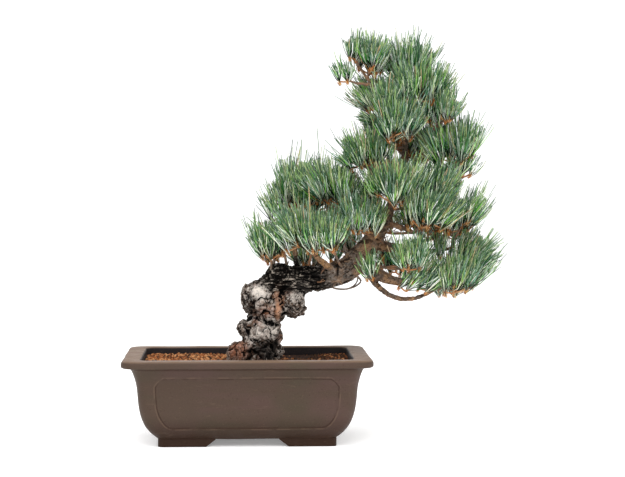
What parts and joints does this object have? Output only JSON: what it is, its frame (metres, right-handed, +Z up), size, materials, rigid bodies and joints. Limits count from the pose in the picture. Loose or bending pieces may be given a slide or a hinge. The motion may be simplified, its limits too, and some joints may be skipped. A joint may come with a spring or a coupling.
{
  "type": "potted japanese white pine",
  "caption": "Japanese white pine grown as a bonsai: a knotted trunk leaning out to the right, tufts of blue-green needles in open layers, in a brown footed clay pot.",
  "frame": {"origin": "centre of the bounding box, at the level that the pot's feet stand on", "axes": "+Z up, +X along the pot's long side towards the end that the trunk leans over, and the side seen in the picture faces -Y"},
  "size_m": [0.4348, 0.2084, 0.4754],
  "materials": {
    "pot": "unglazed, matt with a faint sheen",
    "soil": "dry baked clay granules",
    "bark": "rough, plated bark",
    "young_bark": "smooth young bark with scars",
    "needles": "waxy needles, satin"
  },
  "bodies": {
    "root": {"pot": "pot", "soil": "soil", "trunk": "bark", "bough_front_left": "young_bark", "bough_back_left": "young_bark", "bough_centre_left": "young_bark", "bough_low_right": "young_bark", "bough_low_sweep": "young_bark", "bough_right": "young_bark", "bough_far_right": "young_bark", "bough_upper_right": "young_bark", "bough_upper_left": "young_bark", "bough_top_right": "young_bark", "bough_back_low": "young_bark", "bough_back_mid": "young_bark", "bough_back_right": "young_bark", "bough_back_top": "young_bark", "foliage_apex": "needles", "foliage_apex_right": "needles", "foliage_apex_left": "needles", "foliage_crest": "needles", "foliage_crest_front": "needles", "foliage_crest_left": "needles", "foliage_crest_right": "needles", "foliage_crest_back": "needles", "foliage_upper_front": "needles", "foliage_upper_left": "needles", "foliage_upper_back": "needles", "foliage_top_right": "needles", "foliage_upper_right": "needles", "foliage_shoulder_left": "needles", "foliage_heart_front": "needles", "foliage_heart_back": "needles", "foliage_heart_right": "needles", "foliage_heart_left": "needles", "foliage_right_front": "needles", "foliage_far_right": "needles", "foliage_low_front": "needles", "foliage_centre_left": "needles", "foliage_left_crown": "needles", "foliage_left_middle": "needles", "foliage_left_edge": "needles", "foliage_left_knob": "needles", "foliage_left_front": "needles", "foliage_middle_front": "needles", "foliage_low_right_front": "needles", "foliage_low_sweep": "needles", "foliage_low_hollow": "needles", "foliage_right_under": "needles", "foliage_right_inner": "needles", "foliage_low_back": "needles", "foliage_left_back": "needles", "foliage_middle_back": "needles", "foliage_right_back": "needles", "foliage_upper_right_back": "needles", "foliage_knob_back": "needles", "foliage_arm_back": "needles", "foliage_right_sprig": "needles", "foliage_low_inner": "needles", "foliage_elbow_back": "needles"}
  },
  "joints": []
}
